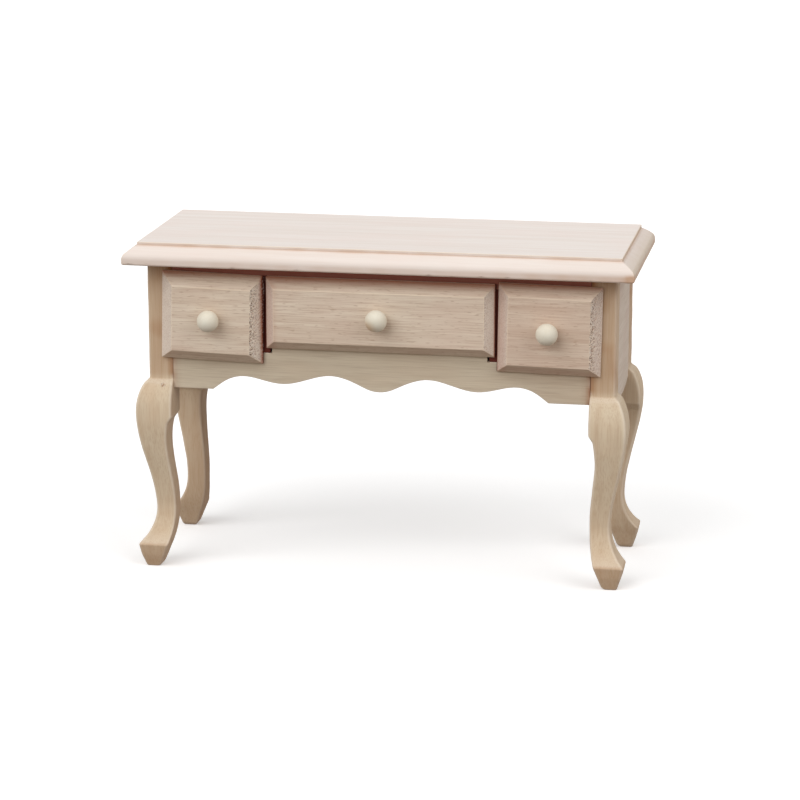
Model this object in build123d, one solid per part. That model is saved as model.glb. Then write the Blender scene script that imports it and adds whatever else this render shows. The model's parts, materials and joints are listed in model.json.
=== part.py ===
from build123d import *
import os

# Miniature dressing table: a case on four cabriole legs, with a moulded top and three drawers.
# Millimetres. X runs along the width, Y from front to back, Z up from the floor.
# The model is drawn about the centre of the case and then moved along Y, so that the
# origin is the middle of the whole outline, knobs included, on the floor.

# ---- overall ----
top_width = 95.0
top_depth = 39.0
height = 63.0

# ---- top board ----
top_thickness = 4.1
top_underside = height - top_thickness
field_inset = 2.44        # from the board's outline to the edge of its raised field
field_step = 0.6          # height of the step round the field
moulding_break = 0.5      # inset of the point where the moulding turns steep
moulding_fall = 1.3       # drop from the foot of the step to that point
edge_band_top = 0.95      # height above the underside where the edge is upright
under_round = 0.4         # radius of the bottom arris

# ---- corner posts and legs ----
case_half_width = 43.93   # centre to the posts' outer faces
case_half_depth = 14.4
post_size = 4.7
knee_line = 36.5          # where the square post ends and the knee begins
shoulder_out = 0.85
shoulder_z = 35.75
knee_out = 2.25
ankle_out = -0.75
ankle_z = 11.6
toe_out = 2.2
toe_z = 4.5
sole_out = 0.95
sole_in = -1.5

# ---- boards of the case ----
board = 2.0               # apron, side and back panels
post_inner_x = case_half_width - post_size
post_inner_y = case_half_depth - post_size
apron_bottom = 34.9
panel_recess = 0.15       # side and back panels stand this far inside the posts' faces
side_drop = 0.9           # how far the middle of a side panel's lower edge hangs down
case_floor = 42.3         # top face of the case bottom
case_floor_thickness = 1.4
rail_bottom = 55.9        # underside of the rail above the drawers
divider_inner = 20.6      # the dividers stand behind the gaps between the drawer fronts
divider_thickness = 1.8
divider_outer = divider_inner + divider_thickness
centre_floor = 45.3       # top of the apron's raised middle and of the runners
raised_half_width = 20.2  # half the width of that raised middle
runner_width = 2.0

# ---- drawers ----
front_gap = 0.15          # between a closed drawer front and the case
front_thickness = 2.7
front_edge = 0.45         # upright edge below the bevel
left_bevels = (2.4, 2.25, 1.95, 2.5)      # widths at the left end, right end, bottom, top
centre_bevels = (1.9, 1.9, 1.75, 2.1)
right_bevels = (2.1, 1.9, 1.8, 2.1)
side_front_bottom = 40.57
side_front_top = 57.2
side_front_inner = 21.9
left_front_outer = 41.35
right_front_outer = 41.0
centre_front_bottom = 43.32
centre_front_top = 57.0
centre_front_half = 21.54
fronts_aside = 0.3        # the fronts are glued on a little to the right of the middle
left_front_lean = 1.5     # degrees clockwise
right_front_lean = 1.0
running_gap = 0.3         # between a drawer box and the case beside it
floor_gap = 0.2           # between a drawer box and what it runs on
box_top = 55.6
box_back = 9.6
drawer_wall = 1.3
drawer_floor = 1.0

# ---- knobs ----
knob_radius = 2.05
knob_centre_out = 1.85    # from the drawer's face to the ball's centre
knob_flat_radius = (knob_radius**2 - knob_centre_out**2) ** 0.5
peg_radius = 0.6
peg_depth = 2.1

case_front = -case_half_depth
drawer_back_face = case_front - front_gap
drawer_face = drawer_back_face - front_thickness
knob_tip = drawer_face - knob_centre_out - knob_radius
origin_shift = -(knob_tip + top_depth / 2) / 2


def block(x0, x1, y0, y1, z0, z1):
    """A square-edged board between two corners."""
    return Pos((x0 + x1) / 2, (y0 + y1) / 2, (z0 + z1) / 2) * Box(x1 - x0, y1 - y0, z1 - z0)


def mirror_x(solid):
    return mirror(solid, about=Plane.YZ)


def mirror_y(solid):
    return mirror(solid, about=Plane.XZ)


def upright_x(outline, depth):
    """A solid whose outline is drawn in X and Z, drawn out both ways along Y."""
    return extrude(Plane.XZ * outline, amount=depth, both=True)


def upright_y(outline, width):
    """A solid whose outline is drawn in Y and Z, drawn out both ways along X."""
    return extrude(Plane.YZ * outline, amount=width, both=True)


# ---------------------------------------------------------------- top board
def moulded_section(half):
    """Half the board's section, from its middle to one moulded edge."""
    step_foot = height - field_step
    inner = half - field_inset
    shallow = ThreePointArc(
        (inner, step_foot),
        (half - 1.52, step_foot - 0.52),
        (half - moulding_break, step_foot - moulding_fall),
    )
    steep = Spline(
        shallow @ 1,
        (half, top_underside + edge_band_top),
        tangents=(shallow % 1, (0, -1)),
    )
    outline = [
        Polyline((0, top_underside), (0, height), (inner, height), (inner, step_foot)),
        shallow,
        steep,
        Line((half, top_underside + edge_band_top), (half, top_underside + under_round)),
        TangentArc(
            (half, top_underside + under_round),
            (half - under_round, top_underside),
            tangent=(0, -1),
        ),
        Line((half - under_round, top_underside), (0, top_underside)),
    ]
    return make_face(outline)


def full_section(half):
    one_side = moulded_section(half)
    return one_side + mirror(one_side, about=Plane.YZ)


def top_board():
    """The board is the meeting of its two sections, so its mouldings mitre at the corners."""
    along_y = upright_x(full_section(top_width / 2), top_depth)
    along_x = upright_y(full_section(top_depth / 2), top_width)
    return along_y & along_x


# ---------------------------------------------------------------- legs
def leg_outline(half):
    """Post and cabriole leg in one plane; half is the distance to the post's outer face."""
    calf = Spline(
        (half + shoulder_out, shoulder_z),
        (half + 1.9, 33.2),
        (half + knee_out, 30.6),
        (half + 1.85, 25.8),
        (half + 0.3, 18.6),
        (half + ankle_out, ankle_z),
    )
    instep = TangentArc(calf @ 1, (half + toe_out, toe_z), tangent=calf % 1)
    inner_curve = Spline(
        (half - 3.0, 3.2),
        (half - 4.0, 6.3),
        (half - 4.5, 11.5),
        (half - 4.1, 17.5),
        (half - 3.5, 23.5),
        (half - 3.9, 28.3),
    )
    outline = [
        Polyline((half, top_underside), (half, knee_line), (half + shoulder_out, shoulder_z)),
        calf,
        instep,
        Polyline(
            (half + toe_out, toe_z),
            (half + 1.75, 2.4),
            (half + sole_out, 0),
            (half + sole_in, 0),
            (half - 2.0, 0.5),
            (half - 3.0, 3.2),
        ),
        inner_curve,
        Polyline(
            (half - 3.9, 28.3),
            (half - post_size, 29.5),
            (half - post_size, top_underside),
            (half, top_underside),
        ),
    ]
    return make_face(outline)


def leg():
    """The back right leg, sawn to the same outline from its front and from its side."""
    from_front = upright_x(leg_outline(case_half_width), top_depth)
    from_side = upright_y(leg_outline(case_half_depth), top_width)
    return from_front & from_side


# ---------------------------------------------------------------- case
def apron_edge():
    """Right half of the scalloped lower edge, from the middle drop to the post."""
    return [
        Spline(
            (0, 35.6),
            (3.7, 36.7),
            (9.0, 38.3),
            (14.2, 37.2),
            (18.2, 36.4),
            (21.7, 36.9),
            (25.4, 37.6),
            (28.9, 36.8),
            (31.6, apron_bottom),
            tangents=((1, 0), (1, -0.75)),
        ),
        Line((31.6, apron_bottom), (post_inner_x, apron_bottom)),
    ]


def front_apron():
    outline = make_face(
        apron_edge()
        + [
            Polyline(
                (post_inner_x, apron_bottom),
                (post_inner_x, case_floor),
                (raised_half_width, case_floor),
                (raised_half_width, centre_floor),
                (0, centre_floor),
                (0, 35.6),
            )
        ]
    )
    right_half = extrude(Plane.XZ.offset(-case_front) * outline, amount=-board)
    return right_half + mirror_x(right_half)


def side_panel():
    """Right side: a board between the posts whose lower edge hangs down in the middle."""
    outline = make_face(
        [
            ThreePointArc(
                (-post_inner_y, apron_bottom),
                (0, apron_bottom - side_drop),
                (post_inner_y, apron_bottom),
            ),
            Polyline(
                (post_inner_y, apron_bottom),
                (post_inner_y, top_underside),
                (-post_inner_y, top_underside),
                (-post_inner_y, apron_bottom),
            ),
        ]
    )
    outer_face = case_half_width - panel_recess
    return extrude(Plane.YZ.offset(outer_face - board) * outline, amount=board)


def back_panel():
    outer_face = case_half_depth - panel_recess
    return block(
        -post_inner_x, post_inner_x, outer_face - board, outer_face, apron_bottom, top_underside
    )


inner_front = case_front + board
inner_back = case_half_depth - panel_recess - board
inner_side = case_half_width - panel_recess - board


def case_bottom():
    """Bottom board, its corners notched round the posts."""
    low = case_floor - case_floor_thickness
    long_part = block(-post_inner_x, post_inner_x, inner_front, inner_back, low, case_floor)
    wide_part = block(-inner_side, inner_side, -post_inner_y, post_inner_y, low, case_floor)
    return long_part + wide_part


def top_rail():
    """The rail between the front posts, over the drawers and under the top board."""
    return block(
        -post_inner_x, post_inner_x, case_front, inner_front, rail_bottom, top_underside
    )


def divider():
    """Right divider, notched at its upper front corner round the rail."""
    whole = block(
        divider_inner, divider_outer, case_front, inner_back, case_floor, top_underside
    )
    notch = block(
        divider_inner, divider_outer, case_front, inner_front, rail_bottom, top_underside
    )
    return whole - notch


def centre_runner():
    return block(
        divider_inner - runner_width, divider_inner, inner_front, inner_back,
        case_floor, centre_floor,
    )


# ---------------------------------------------------------------- drawers
def drawer_front(x0, x1, z0, z1, bevels, knob_x, knob_z):
    """A flat field with a bevel all round and a hole for the knob's peg."""
    left, right, bottom, top = bevels
    body = block(x0, x1, drawer_face, drawer_back_face, z0, z1)
    bevel_depth = front_thickness - front_edge
    for face, outward, bevel in ((x0, -1, left), (x1, 1, right)):
        wedge = Polyline(
            (face, drawer_face + bevel_depth),
            (face - outward * bevel, drawer_face),
            (face + outward, drawer_face),
            (face + outward, drawer_face + bevel_depth),
            close=True,
        )
        body -= Pos(0, 0, z0) * extrude(make_face(wedge), amount=z1 - z0)
    for face, outward, bevel in ((z0, -1, bottom), (z1, 1, top)):
        wedge = Polyline(
            (drawer_face + bevel_depth, face),
            (drawer_face, face - outward * bevel),
            (drawer_face, face + outward),
            (drawer_face + bevel_depth, face + outward),
            close=True,
        )
        body -= Pos(x0, 0, 0) * extrude(Plane.YZ * make_face(wedge), amount=x1 - x0)
    hole = Cylinder(peg_radius, peg_depth, align=(Align.CENTER, Align.CENTER, Align.MIN))
    return body - Pos(knob_x, drawer_face, knob_z) * Rot(-90, 0, 0) * hole


def knob(knob_x, knob_z):
    """A turned ball, flat where it meets the drawer, with a peg let into the front."""
    ball_half = make_face(
        [
            Line((0, -peg_depth), (peg_radius, -peg_depth)),
            Line((peg_radius, -peg_depth), (peg_radius, 0)),
            Line((peg_radius, 0), (knob_flat_radius, 0)),
            ThreePointArc(
                (knob_flat_radius, 0),
                (knob_radius, knob_centre_out),
                (0, knob_centre_out + knob_radius),
            ),
            Line((0, knob_centre_out + knob_radius), (0, -peg_depth)),
        ]
    )
    turned = revolve(Plane.XZ * ball_half, axis=Axis.Z)
    return Pos(knob_x, drawer_face, knob_z) * Rot(90, 0, 0) * turned


def drawer(name, front, bevels, box, lean=0):
    """The six pieces of one drawer; front is x0, x1, z0, z1 and box is x0, x1, z0.

    The front is turned clockwise about its knob by lean degrees.
    """
    x0, x1, z0 = box
    inner_x0 = x0 + drawer_wall
    inner_x1 = x1 - drawer_wall
    back_inner = box_back - drawer_wall
    knob_x = (front[0] + front[1]) / 2
    knob_z = (front[2] + front[3]) / 2
    lean_over = Pos(knob_x, 0, knob_z) * Rot(0, lean, 0) * Pos(-knob_x, 0, -knob_z)
    return {
        name + "_front": lean_over * drawer_front(*front, bevels, knob_x, knob_z),
        name + "_side_left": block(x0, inner_x0, drawer_back_face, box_back, z0, box_top),
        name + "_side_right": block(inner_x1, x1, drawer_back_face, box_back, z0, box_top),
        name + "_back": block(inner_x0, inner_x1, back_inner, box_back, z0, box_top),
        name + "_bottom": block(
            inner_x0, inner_x1, drawer_back_face, back_inner, z0, z0 + drawer_floor
        ),
        name + "_knob": knob(knob_x, knob_z),
    }


# ---------------------------------------------------------------- the whole table
back_right_leg = leg()
right_panel = side_panel()
right_divider = divider()
right_runner = centre_runner()

nodes = {
    "top_board": top_board(),
    "leg_back_right": back_right_leg,
    "leg_back_left": mirror_x(back_right_leg),
    "leg_front_right": mirror_y(back_right_leg),
    "leg_front_left": mirror_y(mirror_x(back_right_leg)),
    "front_apron": front_apron(),
    "top_rail": top_rail(),
    "side_panel_right": right_panel,
    "side_panel_left": mirror_x(right_panel),
    "back_panel": back_panel(),
    "case_bottom": case_bottom(),
    "divider_right": right_divider,
    "divider_left": mirror_x(right_divider),
    "centre_runner_right": right_runner,
    "centre_runner_left": mirror_x(right_runner),
}

side_box_inner = divider_outer + running_gap
side_box_outer = post_inner_x - running_gap
side_box_floor = case_floor + floor_gap
centre_box_half = divider_inner - running_gap
nodes |= drawer(
    "drawer_left",
    (
        fronts_aside - left_front_outer,
        fronts_aside - side_front_inner,
        side_front_bottom,
        side_front_top,
    ),
    left_bevels,
    (-side_box_outer, -side_box_inner, side_box_floor),
    left_front_lean,
)
nodes |= drawer(
    "drawer_right",
    (
        fronts_aside + side_front_inner,
        fronts_aside + right_front_outer,
        side_front_bottom,
        side_front_top,
    ),
    right_bevels,
    (side_box_inner, side_box_outer, side_box_floor),
    right_front_lean,
)
nodes |= drawer(
    "drawer_centre",
    (
        fronts_aside - centre_front_half,
        fronts_aside + centre_front_half,
        centre_front_bottom,
        centre_front_top,
    ),
    centre_bevels,
    (-centre_box_half, centre_box_half, centre_floor + floor_gap),
)

os.makedirs("parts", exist_ok=True)
for node, solid in nodes.items():
    export_step(Pos(0, origin_shift, 0) * solid, "parts/" + node + ".step")
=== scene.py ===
"""Looks for the miniature dressing table: bare pale wood, hand-sanded and lightly stained where
glued, with painted shade under the top board and between the drawers.

Every visible piece but the knobs is a mesh lofted through slices of its CAD node, and each knob
is a turned mesh inside its node's box, so each keeps the node's place and size and gains soft
arrises, tool marks and small chips. Metres, in the CAD frame.
"""
import json
import math

import bmesh
import bpy
import numpy as np
from mathutils import Matrix, Vector, noise


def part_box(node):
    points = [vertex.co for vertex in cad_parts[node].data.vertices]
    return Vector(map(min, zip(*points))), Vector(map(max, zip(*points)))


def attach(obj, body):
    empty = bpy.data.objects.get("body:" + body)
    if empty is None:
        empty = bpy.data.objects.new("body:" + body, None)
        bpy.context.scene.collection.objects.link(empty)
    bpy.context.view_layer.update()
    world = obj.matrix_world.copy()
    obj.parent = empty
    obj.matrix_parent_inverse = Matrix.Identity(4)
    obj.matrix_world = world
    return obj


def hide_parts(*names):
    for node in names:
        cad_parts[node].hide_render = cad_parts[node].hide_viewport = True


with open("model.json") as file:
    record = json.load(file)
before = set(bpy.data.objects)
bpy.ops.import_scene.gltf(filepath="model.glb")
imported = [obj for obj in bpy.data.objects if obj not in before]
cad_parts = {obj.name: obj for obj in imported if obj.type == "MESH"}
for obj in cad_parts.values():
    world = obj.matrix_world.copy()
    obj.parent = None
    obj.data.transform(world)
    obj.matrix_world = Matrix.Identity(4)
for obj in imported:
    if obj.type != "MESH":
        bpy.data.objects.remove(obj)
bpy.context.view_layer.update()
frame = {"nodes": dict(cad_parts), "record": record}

mm = 0.001
X, Y, Z = 0, 1, 2
record = frame["record"]
body_of = {
    node: body for body, nodes in record["behaviour"]["bodies"].items() for node in nodes
}


# ---------------------------------------------------------------- slices of the CAD nodes
def cad_edges(node):
    """The two ends of every edge of a CAD node, as arrays of points."""
    mesh = frame["nodes"][node].data
    points = np.zeros(len(mesh.vertices) * 3)
    mesh.vertices.foreach_get("co", points)
    ends = np.zeros(len(mesh.edges) * 2, int)
    mesh.edges.foreach_get("vertices", ends)
    points = points.reshape(-1, 3)
    ends = ends.reshape(-1, 2)
    return points[ends[:, 0]], points[ends[:, 1]]


def slice_corners(edges, axis, level):
    """The slice's four corners at one level, in order round it, in the other two axes."""
    start, end = edges
    before = start[:, axis] - level
    after = end[:, axis] - level
    crossing = (before * after <= 0) & (before != after)
    share = before[crossing] / (before[crossing] - after[crossing])
    hits = start[crossing] + share[:, None] * (end[crossing] - start[crossing])
    across = np.delete(hits, axis, axis=1)
    diagonals = ((-1, -1), (1, -1), (1, 1), (-1, 1))
    return np.array([across[np.argmax(across @ np.array(d))] for d in diagonals])


def soft_corners(edges, axis, level, low, high, blur):
    """The slice's corners, averaged over a short stretch so that hard lines turn soft."""
    tiny = 0.002 * mm
    offsets = (-blur, -blur / 2, 0, blur / 2, blur) if blur else (0,)
    levels = np.clip([level + offset for offset in offsets], low + tiny, high - tiny)
    return np.mean([slice_corners(edges, axis, each) for each in levels], axis=0)


def loft_levels(edges, axis, low, high, step, blur, round_end):
    """Where the rings lie: close together at the ends and at every line of the CAD shape."""
    lines = np.unique(np.round(edges[0][:, axis] / (0.05 * mm))) * 0.05 * mm
    levels = set()
    for line in lines:
        levels |= {line - blur, line - blur / 2, line, line + blur / 2, line + blur}
    for turn in (0, 30, 60, 90):
        inset = round_end * (1 - math.cos(math.radians(turn)))
        levels |= {low + inset, high - inset}
    inside = sorted(level for level in levels if low <= level <= high)
    kept = [low]
    for level in inside[1:]:
        gap = level - kept[-1]
        if gap < 0.03 * mm:
            continue
        count = math.ceil(gap / step - 0.01)
        start = kept[-1]
        kept += [start + gap * (i + 1) / count for i in range(count)]
    kept[-1] = high
    return kept


def ring(corners, radius, counts, arc_steps=2):
    """Points round a four-sided slice, from the middle of its first rounded corner."""
    points = []
    sides = [corners[(i + 1) % 4] - corners[i] for i in range(4)]
    ways = [side / np.linalg.norm(side) for side in sides]

    def arc_point(i, turn):
        into, out = ways[i - 1], ways[i]
        centre = corners[i] + radius * (out - into)
        return centre + radius * (into * math.sin(turn) - out * math.cos(turn))

    for i in range(4):
        count = counts[i % 2]
        straight = count - 2 * arc_steps
        first = corners[i] + radius * ways[i]
        last = corners[(i + 1) % 4] - radius * ways[i]
        for j in range(arc_steps):
            points.append(arc_point(i, math.pi / 4 * (1 + j / arc_steps)))
        for j in range(straight + 1):
            points.append(first + (last - first) * j / straight)
        for j in range(1, arc_steps):
            points.append(arc_point((i + 1) % 4, math.pi / 4 * j / arc_steps))
    return points


def cap(points, faces, ids, counts):
    """Closes a ring with a grid of four-sided faces, its inner points eased between its sides."""
    n, m = counts
    grid = {}
    for i in range(n + 1):
        grid[i, 0] = ids[i]
        grid[i, m] = ids[(2 * n + m - i) % len(ids)]
    for j in range(m + 1):
        grid[n, j] = ids[n + j]
        grid[0, j] = ids[(2 * n + 2 * m - j) % len(ids)]
    corner = {(i, j): points[grid[i * n, j * m]] for i in (0, 1) for j in (0, 1)}
    for i in range(1, n):
        u = i / n
        for j in range(1, m):
            v = j / m
            sides = (1 - v) * points[grid[i, 0]] + v * points[grid[i, m]]
            sides = sides + (1 - u) * points[grid[0, j]] + u * points[grid[n, j]]
            flat = (1 - u) * (1 - v) * corner[0, 0] + u * (1 - v) * corner[1, 0]
            flat = flat + (1 - u) * v * corner[0, 1] + u * v * corner[1, 1]
            grid[i, j] = len(points)
            points.append(sides - flat)
    for i in range(n):
        for j in range(m):
            faces.append((grid[i, j], grid[i + 1, j], grid[i + 1, j + 1], grid[i, j + 1]))


def loft(node, axis, step, around, radius, blur, round_end):
    """A closed mesh through the slices of a node.

    Step and around are its spacing along and round it, radius and round_end soften its long
    corners and its ends, and blur softens the hard lines that cross it.
    """
    edges = cad_edges(node)
    low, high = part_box(node)
    low, high = low[axis], high[axis]
    levels = loft_levels(edges, axis, low, high, step, blur, round_end)
    size = np.delete(np.array(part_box(node)[1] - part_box(node)[0]), axis)
    counts = [max(6, 4 + round(length / around)) for length in size]
    points, faces, rings = [], [], []
    for level in levels:
        corners = soft_corners(edges, axis, level, low, high, blur)
        near = min(level - low, high - level)
        inset = 0.0
        if near < round_end:
            inset = round_end - math.sqrt(round_end**2 - (round_end - near) ** 2)
        middle = corners.mean(axis=0)
        corners = corners + inset * np.sign(middle - corners)
        flat = ring(corners, radius, counts)
        rings.append(range(len(points), len(points) + len(flat)))
        points += [np.insert(point, axis, level) for point in flat]
    around_count = len(rings[0])
    for lower, upper in zip(rings, rings[1:]):
        for i in range(around_count):
            j = (i + 1) % around_count
            faces.append((lower[i], lower[j], upper[j], upper[i]))
    cap(points, faces, list(rings[0]), counts)
    cap(points, faces, list(rings[-1]), counts)
    return points, faces


# ---------------------------------------------------------------- pieces
def new_mesh(name, points, faces):
    mesh = bpy.data.meshes.new(name)
    mesh.from_pydata([tuple(point) for point in points], [], faces)
    shape = bmesh.new()
    shape.from_mesh(mesh)
    bmesh.ops.recalc_face_normals(shape, faces=shape.faces)
    shape.to_mesh(mesh)
    shape.free()
    mesh.polygons.foreach_set("use_smooth", [True] * len(mesh.polygons))
    return mesh


def mark(mesh, name, values):
    """Stores one number for each point, which the material reads."""
    attribute = mesh.attributes.new(name, "FLOAT", "POINT")
    attribute.data.foreach_set("value", np.array(values, np.float32))


def mark_arrises(mesh):
    """Marks how far each point stands out: 1 on an arris, 0 on a flat, -1 in a hollow."""
    sharpest = 0.18
    count = len(mesh.vertices)
    points = np.zeros(count * 3)
    normals = np.zeros(count * 3)
    mesh.vertices.foreach_get("co", points)
    mesh.vertices.foreach_get("normal", normals)
    points = points.reshape(-1, 3)
    normals = normals.reshape(-1, 3)
    ends = np.zeros(len(mesh.edges) * 2, int)
    mesh.edges.foreach_get("vertices", ends)
    ends = ends.reshape(-1, 2)
    out = np.zeros(count)
    met = np.zeros(count)
    for a, b in ((0, 1), (1, 0)):
        here, there = ends[:, a], ends[:, b]
        way = points[here] - points[there]
        length = np.maximum(np.linalg.norm(way, axis=1), 1e-9)
        np.add.at(out, here, (way * normals[here]).sum(axis=1) / length)
        np.add.at(met, here, 1)
    mark(mesh, "arris", np.clip(out / met / sharpest, -1, 1))


def wander(point, spacing, seed):
    """Smooth noise between -1 and 1 that changes over about the given spacing."""
    return noise.noise(Vector(point) / spacing + Vector((seed, 2 * seed, 3 * seed)))


def add_piece(node, mesh, material):
    piece = bpy.data.objects.new(node + "_wood", mesh)
    bpy.context.scene.collection.objects.link(piece)
    mesh.materials.append(material)
    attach(piece, body_of[node])
    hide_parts(node)
    return piece


def weather(mesh, touch):
    """Moves and marks each point: touch(point, normal) gives its move, stain and pit."""
    rows = [touch(vertex.co.copy(), vertex.normal.copy()) for vertex in mesh.vertices]
    for vertex, (move, _stain, _pit) in zip(mesh.vertices, rows):
        vertex.co += move
    mark(mesh, "stain_and_shade", [stain_and_shade for _move, stain_and_shade, _pit in rows])
    mark(mesh, "pit", [pit for _move, _stain, pit in rows])
    mesh.update()
    mark_arrises(mesh)


def ramp(value, low, high):
    """0 below low, 1 above high and smooth between; low may be above high."""
    share = min(1.0, max(0.0, (value - low) / (high - low)))
    return share * share * (3 - 2 * share)


# ---------------------------------------------------------------- materials
class Graph:
    """A short way to write the nodes of one wood."""

    def __init__(self, name, grain):
        self.material = bpy.data.materials.new(name)
        self.material.use_nodes = True
        self.tree = self.material.node_tree
        self.shader = self.tree.nodes["Principled BSDF"]
        source = self.node("ShaderNodeTexCoord")
        self.place = self.turned(source.outputs["Object"], grain)
        self.facing = self.turned(source.outputs["Normal"], grain)

    def node(self, kind, *inputs, **settings):
        made = self.tree.nodes.new(kind)
        for name, value in settings.items():
            setattr(made, name, value)
        for socket, value in zip(made.inputs, inputs):
            self.put(socket, value)
        return made

    def put(self, socket, value):
        if isinstance(value, bpy.types.NodeSocket):
            self.tree.links.new(value, socket)
        elif value is not None:
            socket.default_value = value

    def turned(self, vector, grain):
        """The same vector with the grain's direction first."""
        parts = self.node("ShaderNodeSeparateXYZ", vector).outputs
        order = (parts[grain], parts[(grain + 1) % 3], parts[(grain + 2) % 3])
        return self.node("ShaderNodeCombineXYZ", *order).outputs[0]

    def math(self, operation, *values):
        return self.node("ShaderNodeMath", *values, operation=operation).outputs[0]

    def grainy(self, along, across, detail=2.0, bend=0.0, seed=0.0):
        """Noise whose spots are that many millimetres long and wide."""
        scale = (1 / (along * mm), 1 / (across * mm), 1 / (across * mm))
        mapped = self.node("ShaderNodeMapping", self.place, (seed, seed, seed), None, scale)
        texture = self.node("ShaderNodeTexNoise")
        self.put(texture.inputs["Vector"], mapped.outputs[0])
        self.put(texture.inputs["Scale"], 1.0)
        self.put(texture.inputs["Detail"], detail)
        self.put(texture.inputs["Distortion"], bend)
        return texture.outputs[0]

    def span(self, value, low, high, top=1.0):
        """0 where the value is below low, rising to top where it is above high."""
        return self.node("ShaderNodeMapRange", value, low, high, 0.0, top).outputs[0]

    def mix(self, share, first, second):
        made = self.node("ShaderNodeMix", data_type="RGBA")
        self.put(made.inputs[0], share)
        self.put(made.inputs[6], first)
        self.put(made.inputs[7], second)
        return made.outputs[2]

    def mark(self, name):
        made = self.node("ShaderNodeAttribute", attribute_name=name)
        return made.outputs["Fac"]


def colour(red, green, blue):
    """A colour from its everyday 0 to 255 numbers."""
    return tuple((part / 255) ** 2.2 for part in (red, green, blue)) + (1.0,)


def wood(
    name, pale, deep, grain, tint, end=(222, 208, 188), figure=0.4, fibres=0.5, flecks=0.0,
    endgrain=0.8, stain_and_shade=(170, 120, 76), deep_shade=None, rubbed_and_highlit=(238, 224, 204), gloss=0.25,
):
    """Bare wood: broad figure, fine fibre, short flecks, end grain, arrises lighter from sanding
    wear and a painted highlight, painted shade in hollows, and stains mixed with painted shade.

    Its darkest colour is painted deep shade, which the heaviest marks turn to, in the gaps
    between and behind the drawers.
    """
    pale, deep, tint, end = (colour(*each) for each in (pale, deep, tint, end))
    fleck_brown = colour(156, 118, 90)
    hollow_shade = colour(176, 132, 104)
    shred_white = colour(246, 240, 230)
    tear_brown = colour(104, 74, 54)
    g = Graph(name, grain)
    broad = g.grainy(40, 1.6, detail=3, bend=0.5)
    fibre = g.grainy(7, 0.2, detail=3, seed=7.0)
    fleck = g.grainy(1.5, 0.26, detail=1, seed=19.0)
    cloud = g.grainy(12, 6, detail=2, seed=31.0)
    speckle = g.grainy(0.22, 0.22, detail=2, seed=43.0)

    face = g.mix(g.span(broad, 0.36, 0.68, figure), pale, deep)
    face = g.mix(g.span(fibre, 0.46, 0.7, fibres), face, deep)
    face = g.mix(g.span(cloud, 0.45, 0.7, 0.35), face, tint)
    face = g.mix(g.span(fleck, 0.62, 0.72, flecks), face, fleck_brown)

    cut = g.mix(g.span(speckle, 0.42, 0.66, 0.5), end, deep)
    along = g.node("ShaderNodeSeparateXYZ", g.facing).outputs[0]
    face = g.mix(g.span(g.math("ABSOLUTE", along), 0.45, 0.8, endgrain), face, cut)

    arris = g.mark("arris")
    hollow = g.math("MULTIPLY", arris, -1.0)
    # Lighter on arrises: sanding wear and a painted highlight.
    face = g.mix(g.span(arris, 0.1, 0.7, 0.7), face, colour(*rubbed_and_highlit))
    # Painted shade: darker in hollows.
    face = g.mix(g.span(hollow, 0.1, 0.7, 0.5), face, hollow_shade)
    # Real stains, and painted shade under the top board, in the slot above the drawers and in the
    # gaps.
    face = g.mix(g.mark("stain_and_shade"), face, colour(*stain_and_shade))
    # Painted deep shade where the marks are heaviest, in the gaps.
    if deep_shade:
        face = g.mix(g.span(g.mark("stain_and_shade"), 0.8, 1.0), face, colour(*deep_shade))

    pit = g.mark("pit")
    shred = g.grainy(0.35, 0.35, detail=2, seed=57.0)
    tear = g.grainy(0.5, 0.2, detail=2, bend=0.8, seed=67.0)
    pale_shred = g.math("MULTIPLY", pit, g.span(shred, 0.52, 0.6, 0.6))
    dark_tear = g.math("MULTIPLY", pit, g.span(tear, 0.54, 0.6))
    face = g.mix(pale_shred, face, shred_white)
    face = g.mix(dark_tear, face, tear_brown)
    g.put(g.shader.inputs["Base Color"], face)

    rough = g.node("ShaderNodeMapRange", fibre, 0.3, 0.7, 0.6, 0.8).outputs[0]
    g.put(g.shader.inputs["Roughness"], rough)
    g.put(g.shader.inputs["Specular IOR Level"], gloss)
    height = g.math("ADD", g.math("MULTIPLY", fibre, 0.7), g.math("MULTIPLY", speckle, 0.4))
    bump = g.node("ShaderNodeBump")
    g.put(bump.inputs["Strength"], 0.3)
    g.put(bump.inputs["Distance"], 0.05 * mm)
    g.put(bump.inputs["Height"], height)
    g.put(g.shader.inputs["Normal"], bump.outputs[0])
    return g.material


def case_wood(axis):
    # Its stain colour and darkest colour paint the maroon shade in the slot above the drawers and
    # on the dividers in the gaps.
    return wood(
        "case_wood_" + "XYZ"[axis], (218, 204, 190), (194, 176, 158), axis, (206, 180, 166),
        stain_and_shade=(150, 56, 32), deep_shade=(64, 26, 18),
    )


def box_wood(axis):
    return wood(
        "box_wood_" + "XYZ"[axis], (228, 210, 182), (204, 178, 146), axis, (214, 186, 154)
    )


top_wood = wood(
    "top_wood", (238, 230, 224), (226, 212, 202), X, (236, 220, 212), figure=0.5, fibres=0.3,
    stain_and_shade=(206, 172, 146),
)
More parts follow.
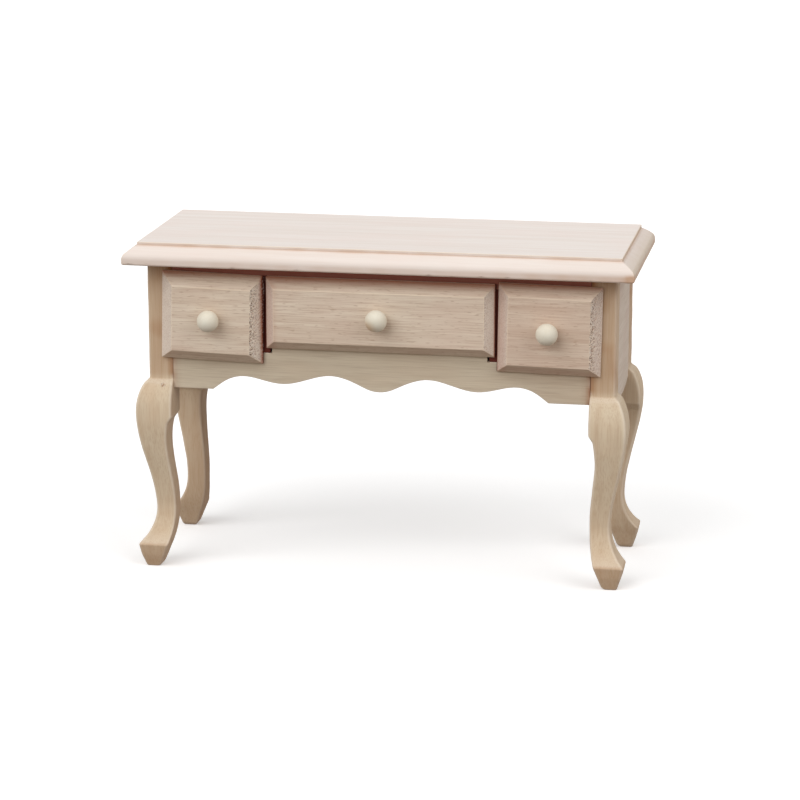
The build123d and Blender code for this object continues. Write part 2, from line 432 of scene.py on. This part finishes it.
# Its stain colour and darkest colour paint the shadow under the top board and the shade in the
# gaps; the right front also takes a faint tint of the stain colour.
front_wood = wood(
    "front_wood", (228, 213, 194), (188, 160, 138), X, (216, 190, 172), fibres=0.6,
    flecks=0.35, end=(238, 228, 218), stain_and_shade=(158, 78, 42), deep_shade=(72, 28, 20),
    rubbed_and_highlit=(246, 230, 206),
)
apron_wood = wood(
    "apron_wood", (214, 202, 180), (184, 168, 146), X, (206, 188, 164), fibres=0.6,
    stain_and_shade=(156, 110, 80),
)
leg_wood = wood(
    "leg_wood", (220, 204, 178), (192, 164, 134), Z, (212, 182, 150), rubbed_and_highlit=(240, 228, 210),
    stain_and_shade=(164, 112, 70),
)
case_woods = {axis: case_wood(axis) for axis in (X, Y)}
box_woods = {axis: box_wood(axis) for axis in (X, Y)}
knob_wood = wood(
    "knob_wood", (228, 224, 208), (212, 202, 180), Y, (220, 206, 180), figure=0.3, fibres=0.2,
    endgrain=0.0, stain_and_shade=(190, 150, 104), gloss=0.5,
)


# ---------------------------------------------------------------- top board
def top_board():
    """The moulded top, chipped along its lower rim and browner in the step and near the rim."""
    points, faces = loft(
        "top_board", Z, step=0.25 * mm, around=0.6 * mm, radius=0.12 * mm, blur=0.05 * mm,
        round_end=0.1 * mm,
    )
    mesh = new_mesh("top_board_wood", points, faces)
    low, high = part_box("top_board")

    def touch(point, normal):
        up = point.z - low.z
        down = high.z - point.z
        on_edge = min(1, abs(normal.x) + abs(normal.y))
        chip = ramp(wander(point, 0.9 * mm, 11), 0.28, 0.6) * ramp(up, 0.9 * mm, 0.2 * mm)
        move = normal * wander(point, 5 * mm, 3) * 0.03 * mm
        move += Vector((0, 0, 0.2 * mm)) * chip * on_edge
        riser = ramp(down, 0.75 * mm, 0.6 * mm) * ramp(down, 0.02 * mm, 0.15 * mm)
        moulding = ramp(down, 0.6 * mm, 0.8 * mm) * 0.12
        rim = ramp(up, 1.7 * mm, 0.8 * mm) * on_edge * (1 + ramp(point.x, 15 * mm, 45 * mm))
        uneven = 0.75 + 0.5 * wander(point, 3 * mm, 17)
        from_corner = math.hypot(high.x - point.x, point.y - low.y)
        bruise = ramp(from_corner, 2.2 * mm, 0.8 * mm) * ramp(up, 2 * mm, 1 * mm)
        stain_and_shade = moulding + (0.6 * riser + 0.3 * rim) * uneven + 0.6 * bruise
        return move, min(1, stain_and_shade), 0.2 * chip

    weather(mesh, touch)
    add_piece("top_board", mesh, top_wood)


# ---------------------------------------------------------------- legs
def leg(node, seed, brown, speck=0.0, tone=0.0):
    """Post and leg, brown on the post where it is glued to the apron, with painted shade at the
    post's top beside the drawers and under the top board, and on the faces turned towards the
    case.

    Brown is how dark the sawn toe is, the speck is a dark dent on the knee and tone is a
    faint brown tint all over.
    """
    points, faces = loft(
        node, Z, step=0.36 * mm, around=0.42 * mm, radius=0.42 * mm, blur=0.2 * mm,
        round_end=0.25 * mm,
    )
    mesh = new_mesh(node + "_wood", points, faces)
    low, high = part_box(node)
    side = math.copysign(1, high.x)
    inner = min(abs(low.x), abs(high.x))
    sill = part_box("front_apron")[0].z
    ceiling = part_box("top_board")[0].z
    speck_x = inner + 1.8 * mm
    speck_z = sill + 0.6 * mm

    def touch(point, normal):
        level = Vector((normal.x, normal.y, 0))
        move = level * wander(point, 4 * mm, seed) * 0.06 * mm
        move += level * wander(point, 1.1 * mm, seed + 1) * 0.015 * mm
        cloud = ramp(wander(point, 5 * mm, seed + 2), 0.0, 0.6)
        near_case = ramp(abs(point.x), inner + 1.4 * mm, inner + 0.2 * mm)
        on_post = ramp(point.z, sill + 1.3 * mm, sill + 3 * mm)
        # Brown where the post is glued to the apron, near the case.
        glue_and_shade = ramp(point.z, sill + 10 * mm, sill + 6 * mm) * near_case * 0.45
        # Painted shade: the post's top darker beside the drawers and under the top board.
        glue_and_shade += ramp(point.z, ceiling - 5.5 * mm, ceiling - 1 * mm) * near_case * 0.6
        glue_and_shade += ramp(point.z, ceiling - 1.2 * mm, ceiling) * 0.6
        toe = ramp(point.z, 5 * mm, 4.5 * mm) * brown * (0.7 + 0.6 * cloud)
        ankle = ramp(point.z, 20 * mm, 12 * mm) * 0.1
        # Painted shade: browner on the faces turned towards the case.
        inside_shade = ramp(-side * normal.x, 0.6, 0.9) * 0.25
        stain_and_shade = max(inside_shade, on_post * (0.3 + 0.25 * cloud + glue_and_shade) + toe)
        dent = 0.0
        if normal.y < -0.3:
            away = math.hypot(abs(point.x) - speck_x, point.z - speck_z)
            dent = speck * ramp(away, 0.5 * mm, 0.15 * mm)
        return move, min(1, stain_and_shade + tone + ankle + 0.5 * dent), dent

    weather(mesh, touch)
    add_piece(node, mesh, leg_wood)


# ---------------------------------------------------------------- boards of the case
def board(
    node, axis, material, around=0.9 * mm, radius=0.12 * mm, stain_and_shade=0.0, glue_and_shade=0.0, right=0.0
):
    """A thin board.

    The stain amount is painted shade near the case's front, in the slot above the drawers and on
    the dividers seen through the gaps, and a faint tint on the apron; glue is how brown the ends
    are where they are glued to the posts, and right is how brown the board turns towards its right
    end.
    """
    points, faces = loft(
        node, axis, step=0.9 * mm, around=around, radius=radius, blur=0.02 * mm,
        round_end=0.1 * mm,
    )
    mesh = new_mesh(node + "_wood", points, faces)
    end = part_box(node)[1].x
    case_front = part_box("front_apron")[0].y

    def touch(point, normal):
        # Painted shade near the case's front: the slot above the drawers and the dividers' edges
        # in the gaps; a faint tint on the apron.
        seen = stain_and_shade * ramp(point.y - case_front, 6 * mm, 2 * mm)
        joint = ramp(abs(point.x), end - 1.3 * mm, end - 0.1 * mm)
        uneven = 0.6 + 0.6 * wander(point, 2 * mm, 7)
        move = normal * wander(point, 6 * mm, 5) * 0.02 * mm
        browner = right * ramp(point.x, 0.4 * end, 0.9 * end)
        return move, min(1, max(0, seen + browner + glue_and_shade * joint * uneven)), 0.0

    weather(mesh, touch)
    add_piece(node, mesh, material)


# ---------------------------------------------------------------- drawers
def drawer_front(node, seed, left_gap, right_gap, torn, tone):
    """A bevelled front, with painted shade under the top board and in the gaps beside it.

    The gaps are how far the painted shade reaches in, torn is how rough the right end is sawn
    and tone is a faint brown tint all over.
    """
    points, faces = loft(
        node, Y, step=0.2 * mm, around=0.34 * mm, radius=0.1 * mm, blur=0.08 * mm,
        round_end=0.1 * mm,
    )
    mesh = new_mesh(node + "_wood", points, faces)
    low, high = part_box(node)
    middle = (low.x + high.x) / 2

    def touch(point, normal):
        move = normal * wander(point, 4 * mm, seed) * 0.025 * mm
        on_end = ramp(abs(normal.x), 0.35, 0.6) * ramp(-normal.y, 0.2, 0.4)
        inward = ramp(point.y, low.y + 1.3 * mm, low.y + 0.1 * mm)
        rough = torn if point.x > middle else 0.15
        pit = on_end * rough * (0.3 + 0.7 * inward)
        jagged = Vector((point.x, point.y, point.z * 1.4))
        move -= normal * pit * ramp(wander(jagged, 0.4 * mm, seed + 4), 0.0, 0.5) * 0.2 * mm
        # Painted shadow of the top board's overhang, fading down from the front's top edge; kept
        # off the top face.
        dark = 0.78 * ramp(point.z, high.z - 1.7 * mm, high.z + 0.1 * mm) ** 1.5
        dark *= ramp(normal.z, 0.95, 0.8)
        # Painted shade in the gaps beside the next drawers, and faintly along the left end.
        if left_gap:
            dark = max(dark, 0.3 * ramp(point.x, low.x + 3 * mm, low.x + 1 * mm))
            dark = max(dark, ramp(point.x, low.x + left_gap, low.x + 0.3 * left_gap))
        if right_gap:
            dark = max(dark, ramp(point.x, high.x - right_gap, high.x - 0.3 * right_gap))
        return move, max(dark, tone), pit

    weather(mesh, touch)
    add_piece(node, mesh, front_wood)


def knob(node, face, spot):
    """A turned ball with faint rings, a short neck and a tan spot; face is the drawer's face."""
    low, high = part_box(node)
    radius = (high.x - low.x) / 2
    centre = Vector(((low.x + high.x) / 2, low.y + radius, (low.z + high.z) / 2))
    ball_turn = math.radians(153)
    rings = 26
    profile = [(0.04 * radius, -radius)]
    for i in range(1, rings + 1):
        turn = ball_turn * i / rings
        wave = 0.006 * mm * math.sin(turn * 41)
        profile.append(((radius - 0.01 * mm + wave) * math.sin(turn), -radius * math.cos(turn)))
    neck = profile[-1][0]
    profile += [(neck, face - centre.y - 0.05 * mm), (neck * 1.12, face - centre.y + 0.02 * mm)]
    around = 48
    points, faces = [], []
    for out, back in profile:
        for i in range(around):
            turn = 2 * math.pi * i / around
            points.append(centre + Vector((out * math.cos(turn), back, out * math.sin(turn))))
    for k in range(len(profile) - 1):
        for i in range(around):
            j = (i + 1) % around
            row, after = k * around, (k + 1) * around
            faces.append((row + i, row + j, after + j, after + i))
    faces.append(tuple(range(around)))
    faces.append(tuple(range((len(profile) - 1) * around, len(profile) * around)))
    mesh = new_mesh(node + "_wood", points, faces)

    tan = centre + radius * Vector((-0.55, -0.55, -0.5))

    def touch(point, normal):
        move = normal * (wander(point, 2.5 * mm, 9) * 0.03 * mm - 0.02 * mm)
        return move, spot * ramp((point - tan).length, radius, 0.2 * radius), 0.0

    weather(mesh, touch)
    add_piece(node, mesh, knob_wood)


# ---------------------------------------------------------------- the whole table
top_board()
leg("leg_front_left", 21, brown=0.3, speck=1.0)
leg("leg_front_right", 31, brown=0.3, tone=0.03)
leg("leg_back_left", 41, brown=0.0, tone=0.18)
leg("leg_back_right", 51, brown=0.06, tone=0.08)
board(
    "front_apron", X, apron_wood, around=0.7 * mm, radius=0.15 * mm, stain_and_shade=0.04, glue_and_shade=0.8,
    right=0.16,
)
# Painted maroon shade in the slot under the top board.
board("top_rail", X, case_woods[X], stain_and_shade=0.8)
board("back_panel", X, case_woods[X])
board("case_bottom", X, case_woods[X])
for side in ("left", "right"):
    board("side_panel_" + side, Y, case_woods[Y])
    # Painted shade on the divider's front edge, seen through the gaps between the drawers.
    board("divider_" + side, Y, case_woods[Y], stain_and_shade=0.95)
    board("centre_runner_" + side, Y, case_woods[Y])
drawer_front("drawer_left_front", 61, 0.0, 1.1 * mm, torn=1.0, tone=0.0)
drawer_front("drawer_centre_front", 71, 0.3 * mm, 0.4 * mm, torn=0.25, tone=0.0)
drawer_front("drawer_right_front", 81, 0.3 * mm, 0.0, torn=0.9, tone=0.12)
for name, spot in (("drawer_left", 0.0), ("drawer_centre", 0.6), ("drawer_right", 0.0)):
    knob(name + "_knob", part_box(name + "_front")[0].y, spot)
    board(name + "_side_left", Y, box_woods[Y])
    board(name + "_side_right", Y, box_woods[Y])
    board(name + "_back", X, box_woods[X])
    board(name + "_bottom", Y, box_woods[Y])


# ---------------------------------------------------------------- studio
def stage_floor():
    """A wide white floor, a little bright of itself so that only soft shadows show."""
    half = 2.5
    corners = [(-half, -half, 0), (half, -half, 0), (half, half, 0), (-half, half, 0)]
    mesh = bpy.data.meshes.new("floor")
    mesh.from_pydata(corners, [], [(0, 1, 2, 3)])
    floor = bpy.data.objects.new("floor", mesh)
    bpy.context.scene.collection.objects.link(floor)
    material = bpy.data.materials.new("floor")
    material.use_nodes = True
    shader = material.node_tree.nodes["Principled BSDF"]
    shader.inputs["Base Color"].default_value = (0.93, 0.93, 0.93, 1)
    shader.inputs["Roughness"].default_value = 1.0
    shader.inputs["Specular IOR Level"].default_value = 0.0
    shader.inputs["Emission Color"].default_value = (1, 1, 1, 1)
    shader.inputs["Emission Strength"].default_value = 0.25
    mesh.materials.append(material)
    floor.visible_diffuse = False


def soft_sun(name, azimuth, elevation, strength, spread):
    """A broad even light; azimuth 0 shines from the front and 90 from the right."""
    light = bpy.data.lights.new(name, "SUN")
    light.energy = strength
    light.angle = math.radians(spread)
    holder = bpy.data.objects.new(name, light)
    bpy.context.scene.collection.objects.link(holder)
    turn, rise = math.radians(azimuth), math.radians(elevation)
    towards = Vector((
        math.sin(turn) * math.cos(rise), -math.cos(turn) * math.cos(rise), math.sin(rise)
    ))
    holder.rotation_euler = towards.to_track_quat("Z", "Y").to_euler()


def sky():
    """White from above, dimmer and warmer from below."""
    above = (1.0, 1.0, 1.0, 1)
    below = (0.40, 0.33, 0.28, 1)
    world = bpy.data.worlds.new("sky")
    bpy.context.scene.world = world
    world.use_nodes = True
    tree = world.node_tree
    background = tree.nodes["Background"]
    source = tree.nodes.new("ShaderNodeTexCoord")
    parts = tree.nodes.new("ShaderNodeSeparateXYZ")
    blend = tree.nodes.new("ShaderNodeMapRange")
    mixed = tree.nodes.new("ShaderNodeMix")
    mixed.data_type = "RGBA"
    tree.links.new(source.outputs["Generated"], parts.inputs[0])
    tree.links.new(parts.outputs[2], blend.inputs[0])
    blend.inputs[1].default_value = 0.0
    blend.inputs[2].default_value = 0.45
    tree.links.new(blend.outputs[0], mixed.inputs[0])
    mixed.inputs[6].default_value = below
    mixed.inputs[7].default_value = above
    tree.links.new(mixed.outputs[2], background.inputs[0])
    background.inputs[1].default_value = 0.58


def camera():
    """A long lens from the front, a little to the right and above."""
    azimuth, elevation = math.radians(10.249), math.radians(13.941)
    distance = 562.276 * mm
    case_middle = (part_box("case_bottom")[0].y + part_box("case_bottom")[1].y) / 2
    target = Vector((1.348 * mm, case_middle, 30.743 * mm))
    back = Vector((
        math.sin(azimuth) * math.cos(elevation),
        -math.cos(azimuth) * math.cos(elevation),
        math.sin(elevation),
    ))
    right = Vector((math.cos(azimuth), math.sin(azimuth), 0))
    data = bpy.data.cameras.new("camera")
    data.lens = 132.94
    data.sensor_width = 36
    data.clip_start = 0.01
    holder = bpy.data.objects.new("camera", data)
    bpy.context.scene.collection.objects.link(holder)
    turned = Matrix((right, back.cross(right), back)).transposed().to_4x4()
    turned.translation = target + back * distance
    holder.matrix_world = turned
    bpy.context.scene.camera = holder


stage_floor()
sky()
soft_sun("key", -35, 36, 1.5, 55)
soft_sun("fill", 65, 36, 0.95, 50)
camera()
bpy.context.scene.view_settings.view_transform = "Standard"
